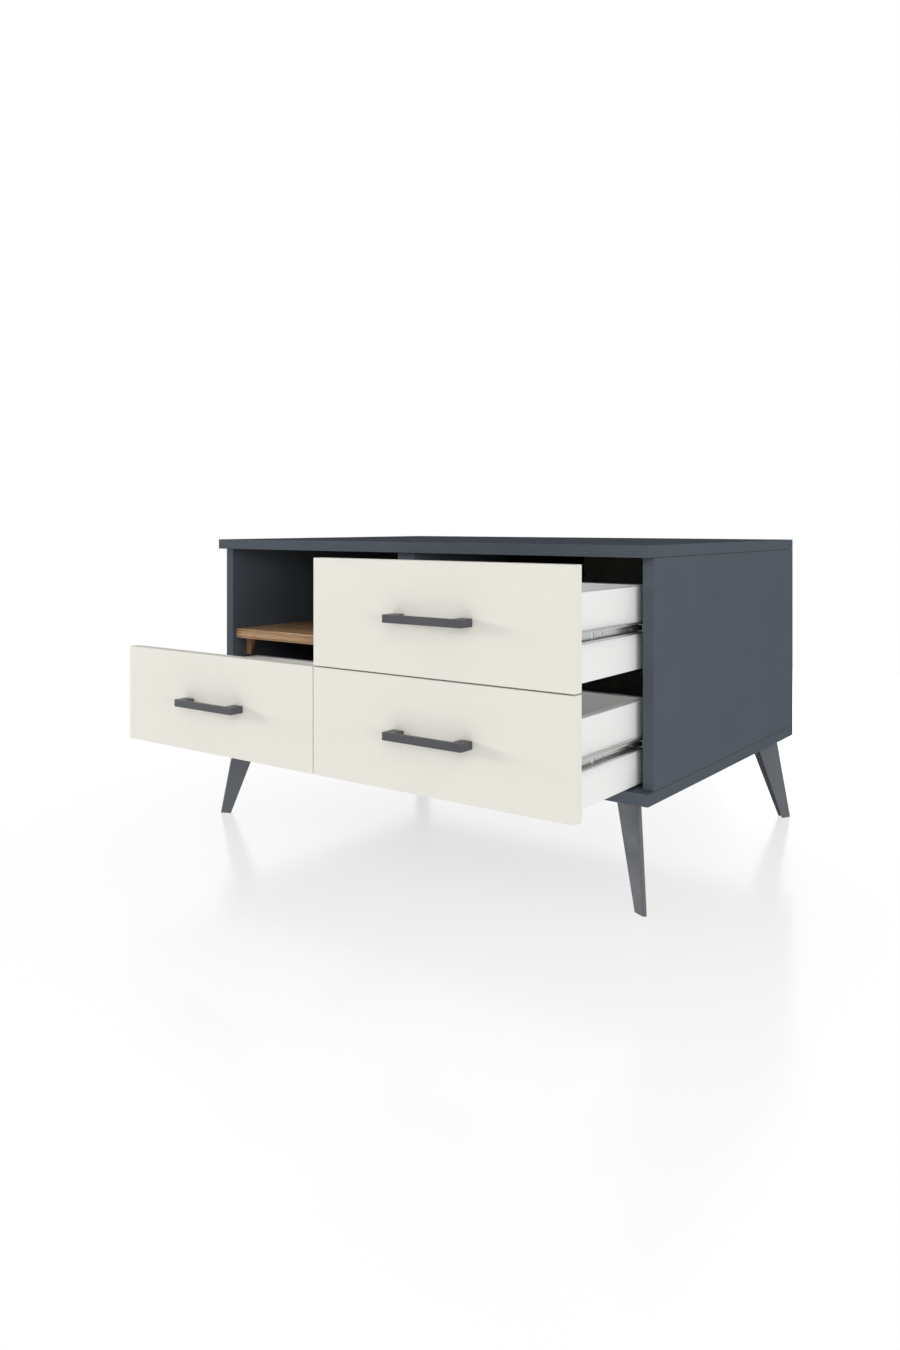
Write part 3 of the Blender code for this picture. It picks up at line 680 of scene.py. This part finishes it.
cage_plastic, tree, shader = new_finish("cage_plastic", Specular_IOR_Level=0.4)
place = board_place(tree)
pits = grain(tree, place, PIT_SIZE)
rubs = grain(tree, place, RUB_SIZE, detail=3.0)
black = shades(tree, rubs, (0.35, CAGE_BLACK), (0.7, CAGE_RUBBED))
sheen = spread(tree, rubs, first=0.50, last=0.36)
lay_on(tree, shader, black, sheen, pits, PIT_DEPTH)
print("plastic:", cage_plastic.name)

# %% [markdown]
# ## Hanging the finishes on the solids
# Each solid in the imported record names the kind of stuff it is made of. A table from that name to the
# finish is enough for all of them, apart from the shelf blocks, whose oak is turned upright and made
# darker as painted shade.

# %% Finishes by material slot
FINISHES = {
    "anthracite_board": anthracite_melamine,
    "cream_board": cream_melamine,
    "white_board": white_foil,
    "back_hardboard": hardboard,
    "oak": shelf_oak,
    "leg_paint": leg_powder,
    "handle_paint": handle_powder,
    "zinc_steel": slide_zinc,
    "black_plastic": cage_plastic,
}
for row in frame["record"]["subparts"]:
    solid = nodes[row["node"]]
    finish = FINISHES[row["material_slot"]]
    if row["node"].startswith("shelf_block"):
        finish = block_oak
    solid.data.materials.clear()
    solid.data.materials.append(finish)

# %% [markdown]
# ## Small parts by hand
# The solids stop at the bare screw holes, and each ball cage is one plain strip. The screws, the cages and
# the balls are modelled here as one would by hand: add a primitive, pick faces by where they are, then
# inset, extrude and bevel. A few helpers start a piece, pick its faces, push them out and end it.

# %% Helpers for modelling
FACING = 0.9
MERGE_DISTANCE = 0.000005
SMOOTH_UP_TO = 38


def along(axis, length):
    """A vector of a given length along an axis."""
    vector = Vector((0.0, 0.0, 0.0))
    vector[axis] = length
    return vector


def start_piece(name):
    """Takes the primitive that was just added into edit mode, with its size in its mesh."""
    piece = bpy.context.active_object
    piece.name = name
    bpy.ops.object.transform_apply(location=True, rotation=True, scale=True)
    bpy.ops.object.mode_set(mode="EDIT")
    return piece


def looks(face, axis, way):
    """Whether a face looks along an axis, forwards for a way of 1 and backwards for -1."""
    return face.normal[axis] * way > FACING


def pick(kind, wanted):
    """Selects the faces or corners of the piece in hand that pass a test, and nothing else."""
    bpy.ops.mesh.select_mode(type=kind)
    bpy.ops.mesh.select_all(action="DESELECT")
    mesh = bpy.context.active_object.data
    shape = bmesh.from_edit_mesh(mesh)
    for element in {"FACE": shape.faces, "VERT": shape.verts}[kind]:
        if wanted(element):
            element.select_set(True)
    shape.select_flush_mode()
    bmesh.update_edit_mesh(mesh)


def push_out(axis, distance):
    """Extrudes what is picked along an axis."""
    bpy.ops.mesh.extrude_region_move(TRANSFORM_OT_translate={"value": along(axis, distance)})


def end_piece():
    """Closes the mesh in hand, turns its faces outwards and shades it smooth up to its sharp edges."""
    bpy.ops.mesh.select_all(action="SELECT")
    bpy.ops.mesh.remove_doubles(threshold=MERGE_DISTANCE)
    bpy.ops.mesh.normals_make_consistent(inside=False)
    bpy.ops.object.mode_set(mode="OBJECT")
    bpy.ops.object.shade_smooth_by_angle(angle=math.radians(SMOOTH_UP_TO))


print("edges stay sharp past", SMOOTH_UP_TO, "degrees")

# %% [markdown]
# ## Screws
# Three kinds of cross-head screw hold the chest together where it shows: broad pan heads under the legs
# and behind the handles, smaller pan heads in the carcass rails, and flush heads in the drawer rails,
# where the cage passes close over them. The cross is pressed into the head by a tapered punch. Here the
# punch is a cube with four arms pushed out and its foot drawn in, and a boolean presses it in.

# %% A punch for the cross
CROSS_ARM = 0.30
CROSS_REACH = 0.62
CROSS_DEPTH = 0.62
CROSS_FOOT = 0.6


def cross_punch(head_radius, head_height):
    """A tapered plus that stands in the top of a screw head, sized as shares of the head."""
    arm = CROSS_ARM * head_radius
    reach = CROSS_REACH * head_radius
    depth = CROSS_DEPTH * head_height
    bpy.ops.object.select_all(action="DESELECT")
    bpy.ops.mesh.primitive_cube_add(size=1.0, location=(0, 0, head_height), scale=(arm, arm, 2 * depth))
    punch = start_piece("cross_punch")
    for axis in (X, Y):
        for way in (1, -1):
            pick("FACE", lambda face: looks(face, axis, way)
                 and max(map(abs, face.calc_center_median().xy)) < arm)
            push_out(axis, way * (reach - arm / 2))
    pick("FACE", lambda face: looks(face, Z, -1))
    bpy.ops.transform.resize(value=(CROSS_FOOT, CROSS_FOOT, 1.0))
    end_piece()
    return punch


def carve(piece, cutter):
    """Cuts one piece out of another and throws the cutter away."""
    cut = piece.modifiers.new("carve", "BOOLEAN")
    cut.operation = "DIFFERENCE"
    cut.solver = "EXACT"
    cut.object = cutter
    bpy.ops.object.select_all(action="DESELECT")
    piece.select_set(True)
    bpy.context.view_layer.objects.active = piece
    bpy.ops.object.modifier_apply(modifier=cut.name)
    bpy.data.objects.remove(cutter)


print("cross arms:", CROSS_ARM, "of the head's radius wide,", CROSS_REACH, "of it long")

# %% [markdown]
# A screw is turned from bar, so it starts as a cylinder as wide as its head. The rim is bevelled, and the
# shank is pushed out from an inset of the underside and drawn in to a point.

# %% Cross-head screws
SCREW_SIDES = 24
RIM_STEPS = 4
POINT_WIDTH = 0.15
FLUSH_HEAD = 0.0008


def turn_screw(name, head_radius, head_height, shank_radius, shank_length, rim):
    """A screw along Z with the underside of its head at zero."""
    bpy.ops.object.select_all(action="DESELECT")
    bpy.ops.mesh.primitive_cylinder_add(
        vertices=SCREW_SIDES, radius=head_radius, depth=head_height, location=(0, 0, head_height / 2),
    )
    screw = start_piece(name)
    pick("FACE", lambda face: looks(face, Z, 1))
    bpy.ops.mesh.bevel(offset=rim, segments=RIM_STEPS, affect="EDGES")
    pick("FACE", lambda face: looks(face, Z, -1))
    bpy.ops.mesh.inset(thickness=head_radius - shank_radius, depth=0)
    push_out(Z, -shank_length)
    push_out(Z, -2 * shank_radius)
    bpy.ops.transform.resize(value=(POINT_WIDTH, POINT_WIDTH, 1.0))
    end_piece()
    carve(screw, cross_punch(head_radius, head_height))
    print(name, "faces:", len(screw.data.polygons))
    return screw


broad_screw = turn_screw(
    "broad_screw", head_radius=0.0040, head_height=0.0024,
    shank_radius=0.0019, shank_length=0.006, rim=0.0010,
)
rail_screw = turn_screw(
    "rail_screw", head_radius=0.0029, head_height=0.0016,
    shank_radius=0.0017, shank_length=0.006, rim=0.0007,
)
flush_screw = turn_screw(
    "flush_screw", head_radius=0.0021, head_height=FLUSH_HEAD,
    shank_radius=0.0016, shank_length=0.004, rim=0.0002,
)

# %% [markdown]
# Each screw is copied to where its hole is. A copy gets its own mesh, and its place goes into the mesh, so
# that every object stays at the origin as the solids do. Nobody lines the crosses up, so each screw is
# twisted further than the last.

# %% Drive a screw
TWIST_STEP = 2.4

driven = []


def fit_copy(pattern, name, place, body, finish):
    """Copies a pattern to its place, and makes it ride on a body with its own finish."""
    mesh = pattern.data.copy()
    mesh.transform(place)
    if place.determinant() < 0:
        mesh.flip_normals()
    mesh.materials.clear()
    mesh.materials.append(finish)
    copy = bpy.data.objects.new(name, mesh)
    bpy.context.scene.collection.objects.link(copy)
    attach(copy, body)
    return copy


def facing(direction, twist):
    """Turns a screw, which is modelled with its head up, to face a direction, with its cross twisted."""
    return direction.to_track_quat("Z", "Y").to_matrix().to_4x4() @ Matrix.Rotation(twist, 4, "Z")


def drive(pattern, name, place, direction, body):
    """Puts one screw in its hole, with its head facing a direction."""
    turn = facing(direction, len(driven) * TWIST_STEP)
    screw = fit_copy(pattern, name, Matrix.Translation(place) @ turn, body, screw_zinc)
    driven.append(screw)


print("each cross is turned", round(math.degrees(TWIST_STEP)), "degrees past the last")

# %% [markdown]
# Each channel of a slide has a hole near each end, and a handle is held by two screws from inside the box,
# a fixed distance from its middle. So a node's box says where its holes are, and only the depth at which
# the heads sit is still to be given.

# %% Screws for a rail and for a handle
HAND_SIGNS = {"left": -1, "right": 1}
RAIL_HOLE_INSET = 0.030
HANDLE_HOLE_FROM_MIDDLE = 0.064


def drive_rail_screws(pattern, rail, seat, way, body):
    """Drives a screw near each end of a rail, with the underside of its head at the seat."""
    low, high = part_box(rail)
    for end, y in (("front", low.y + RAIL_HOLE_INSET), ("rear", high.y - RAIL_HOLE_INSET)):
        place = Vector((seat, y, (low.z + high.z) / 2))
        drive(pattern, f"{rail}_{end}_screw", place, along(X, way), body)


def drive_handle_screws(handle, inner_face, body):
    """Drives a handle's two screws, with their heads on the inner face of the box front."""
    low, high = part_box(handle)
    middle = (low + high) / 2
    for hand, sign in HAND_SIGNS.items():
        place = Vector((middle.x + sign * HANDLE_HOLE_FROM_MIDDLE, inner_face, middle.z))
        drive(broad_screw, f"{handle}_{hand}_screw", place, along(Y, 1), body)


print("a handle's holes are", 2 * HANDLE_HOLE_FROM_MIDDLE, "m apart")

# %% [markdown]
# On a drawer's channel the heads are sunk into the web, so that the cage can pass, and on the carcass's
# channel they stand on it. Both channels are folded from sheet of the same thickness, and their webs lie
# on opposite sides of the slide.

# %% Screws in the slides and the handles
DRAWER_NAMES = ("upper", "lower_left", "lower_right")
RAIL_SHEET = 0.001
FLUSH_DEPTH = 0.0001


def side_of(node, sign):
    """Where the right side of a node is, for a sign of 1, or its left side, for -1."""
    low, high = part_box(node)
    return high.x if sign > 0 else low.x


for drawer in DRAWER_NAMES:
    body = f"{drawer}_drawer"
    for hand, sign in HAND_SIGNS.items():
        drawer_rail = f"{drawer}_drawer_{hand}_rail"
        web_face = side_of(drawer_rail, -sign) + sign * RAIL_SHEET
        sunk_seat = web_face - sign * (FLUSH_DEPTH + FLUSH_HEAD)
        drive_rail_screws(flush_screw, drawer_rail, sunk_seat, sign, body)
        cabinet_rail = f"{drawer}_{hand}_cabinet_rail"
        web_face = side_of(cabinet_rail, sign) - sign * RAIL_SHEET
        drive_rail_screws(rail_screw, cabinet_rail, web_face, -sign, "carcass")
    box_front_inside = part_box(f"{drawer}_drawer_box_front")[1].y
    drive_handle_screws(f"{drawer}_drawer_handle", box_front_inside, body)
print("screws in slides and handles:", len(driven))

# %% [markdown]
# Each leg's plate has three holes, which are measured from the nearest corner of the bottom panel. With
# the last screw in, the three patterns have done their work and are thrown away.

# %% Screws under the legs
LEG_PLATE_HOLES = ((0.0505, 0.0485), (0.0712, 0.0589), (0.0609, 0.0692))
LEG_PLATE = 0.0025

carcass_low, carcass_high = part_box("bottom_panel")
for end, edge_y, way in (("front", carcass_low.y, 1), ("rear", carcass_high.y, -1)):
    for hand, sign in HAND_SIGNS.items():
        leg = f"leg_{end}_{hand}"
        corner_x = side_of("bottom_panel", sign)
        plate_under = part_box(leg)[1].z - LEG_PLATE
        for number, (inset_x, inset_y) in enumerate(LEG_PLATE_HOLES, 1):
            place = Vector((corner_x - sign * inset_x, edge_y + way * inset_y, plate_under))
            drive(broad_screw, f"{leg}_screw_{number}", place, along(Z, -1), "carcass")
for pattern in (broad_screw, rail_screw, flush_screw):
    bpy.data.objects.remove(pattern)
print("screws in all:", len(driven))

# %% [markdown]
# ## Ball cages
# Between the two channels of a slide runs a strip of black plastic that keeps the balls apart. It is a
# shallow trough: a web that lies along the drawer's channel, and two lips with a square pocket for each
# ball. Windows in the web save plastic, and the front is a blunt tongue that finds its way into the other
# channel. The strip starts as a flat cube. It is scored where the windows and pockets begin, and the lips
# are pushed out in three steps, so that a row of faces is left for the pockets.

# %% A ball cage
CAGE_SHEET = 0.0009
CAGE_HALF_HEIGHT = 0.00665
BALL_PLACES = (-0.012, 0.0, 0.012)
BALL_FROM_WEB = 0.0038
POCKET = 0.00115
WINDOW_PLACES = (-0.006, 0.006)
WINDOW_HALF_LENGTH = 0.0034
WINDOW_HALF_HEIGHT = 0.0034
TONGUE = 0.0045

cage_low, cage_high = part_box("upper_right_ball_cage")
cage_width = cage_high.x - cage_low.x
cage_length = cage_high.y - cage_low.y
lip_start = CAGE_HALF_HEIGHT - CAGE_SHEET
tongue_root = TONGUE - cage_length / 2


def score(axis, places):
    """Cuts a new line across the whole piece at each place along an axis."""
    for place in places:
        bpy.ops.mesh.select_all(action="SELECT")
        bpy.ops.mesh.bisect(plane_co=along(axis, place), plane_no=along(axis, 1.0))


def on_lip(face):
    """Whether a face is where a lip grows from the web."""
    middle = face.calc_center_median()
    return looks(face, X, 1) and abs(middle.z) > lip_start and middle.y > tongue_root


bpy.ops.object.select_all(action="DESELECT")
bpy.ops.mesh.primitive_cube_add(
    size=1.0, location=(CAGE_SHEET / 2, 0, 0), scale=(CAGE_SHEET, cage_length, 2 * CAGE_HALF_HEIGHT),
)
cage = start_piece("ball_cage")
score(Z, (-lip_start, -WINDOW_HALF_HEIGHT, WINDOW_HALF_HEIGHT, lip_start))
score(Y, [tongue_root])
score(Y, [place + way * POCKET for place in BALL_PLACES for way in (-1, 1)])
score(Y, [place + way * WINDOW_HALF_LENGTH for place in WINDOW_PLACES for way in (-1, 1)])
pick("FACE", on_lip)
lip_edge = CAGE_SHEET
for reach in (BALL_FROM_WEB - POCKET, BALL_FROM_WEB + POCKET, cage_width):
    push_out(X, reach - lip_edge)
    lip_edge = reach
print("cage faces before the holes:", len(bmesh.from_edit_mesh(cage.data).faces))

# %% [markdown]
# Each hole is made by bridging a face to the one behind it, which leaves a hole with walls. The tongue is
# the front end of the web, drawn in to less than a third of its height, and a fine bevel rounds all edges
# as a mould does.

# %% Windows, pockets and tongue
BALL_ROWS = (-0.0062, 0.0062)
TONGUE_TIP = 0.3
CAGE_ROUNDING = 0.00012
ROUNDING_STEPS = 2


def lies_across(face, axis):
    """Whether a face lies square across an axis, whichever way it looks."""
    return looks(face, axis, 1) or looks(face, axis, -1)


def in_window(face, window):
    """Whether a face of the web is where a window goes."""
    middle = face.calc_center_median()
    within = abs(middle.y - window) < WINDOW_HALF_LENGTH and abs(middle.z) < WINDOW_HALF_HEIGHT
    return lies_across(face, X) and within


def in_pocket(face, row, place):
    """Whether a face of a lip is where a ball's pocket goes."""
    middle = face.calc_center_median()
    within = abs(middle.x - BALL_FROM_WEB) < POCKET and abs(middle.y - place) < POCKET
    return lies_across(face, Z) and middle.z * row > 0 and within


for window in WINDOW_PLACES:
    pick("FACE", lambda face: in_window(face, window))
    bpy.ops.mesh.bridge_edge_loops()
for row in BALL_ROWS:
    for place in BALL_PLACES:
        pick("FACE", lambda face: in_pocket(face, row, place))
        bpy.ops.mesh.bridge_edge_loops()
pick("VERT", lambda corner: corner.co.y < tongue_root - TONGUE / 2)
bpy.ops.transform.resize(value=(1.0, 1.0, TONGUE_TIP))
end_piece()
rounding = cage.modifiers.new("moulded_edges", "BEVEL")
rounding.width = CAGE_ROUNDING
rounding.segments = ROUNDING_STEPS
rounding.limit_method = "ANGLE"
bpy.ops.object.modifier_apply(modifier=rounding.name)
print("cage faces:", len(cage.data.polygons))

# %% [markdown]
# The balls are hardened steel, two millimetres across. A cube, subdivided and pushed out to a sphere, has
# even faces and no poles. One ball is duplicated along its row, and the row across to the other lip.

# %% Balls in their pockets
BALL_RADIUS = 0.001
BALL_CUTS = 5

bpy.ops.object.select_all(action="DESELECT")
bpy.ops.mesh.primitive_cube_add(
    size=BALL_RADIUS, location=(BALL_FROM_WEB, BALL_PLACES[0], BALL_ROWS[0]),
)
balls = start_piece("ball_set")
bpy.ops.mesh.select_all(action="SELECT")
bpy.ops.mesh.subdivide(number_cuts=BALL_CUTS)
bpy.ops.transform.tosphere(value=1.0)
ball_size = max(corner.co.x for corner in bmesh.from_edit_mesh(balls.data).verts) - BALL_FROM_WEB
bpy.ops.transform.resize(value=[BALL_RADIUS / ball_size] * 3)
for first, second in zip(BALL_PLACES, BALL_PLACES[1:]):
    bpy.ops.mesh.duplicate_move(TRANSFORM_OT_translate={"value": along(Y, second - first)})
bpy.ops.mesh.select_all(action="SELECT")
bpy.ops.mesh.duplicate_move(TRANSFORM_OT_translate={"value": along(Z, BALL_ROWS[1] - BALL_ROWS[0])})
end_piece()
print("balls in a cage:", len(BALL_PLACES) * len(BALL_ROWS), "faces:", len(balls.data.polygons))

# %% [markdown]
# The three drawers have a cage on each side. The pattern was made for the right-hand side, and the
# left-hand ones are its mirror image, so their faces are turned the right way out again as they are
# copied.

# %% Cages and balls for the six slides
for drawer in DRAWER_NAMES:
    for hand, sign in HAND_SIGNS.items():
        node = f"{drawer}_{hand}_ball_cage"
        low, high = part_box(node)
        web_side = Matrix.Translation((side_of(node, -sign), (low.y + high.y) / 2, (low.z + high.z) / 2))
        place = web_side @ Matrix.Scale(sign, 4, along(X, 1.0))
        strip = fit_copy(cage, f"{node}_strip", place, f"{drawer}_cages", cage_plastic)
        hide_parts(node)
        fit_copy(balls, f"{node}_balls", place, f"{drawer}_cages", ball_steel)
for pattern in (cage, balls):
    bpy.data.objects.remove(pattern)
print("cages:", len(DRAWER_NAMES) * len(HAND_SIGNS))
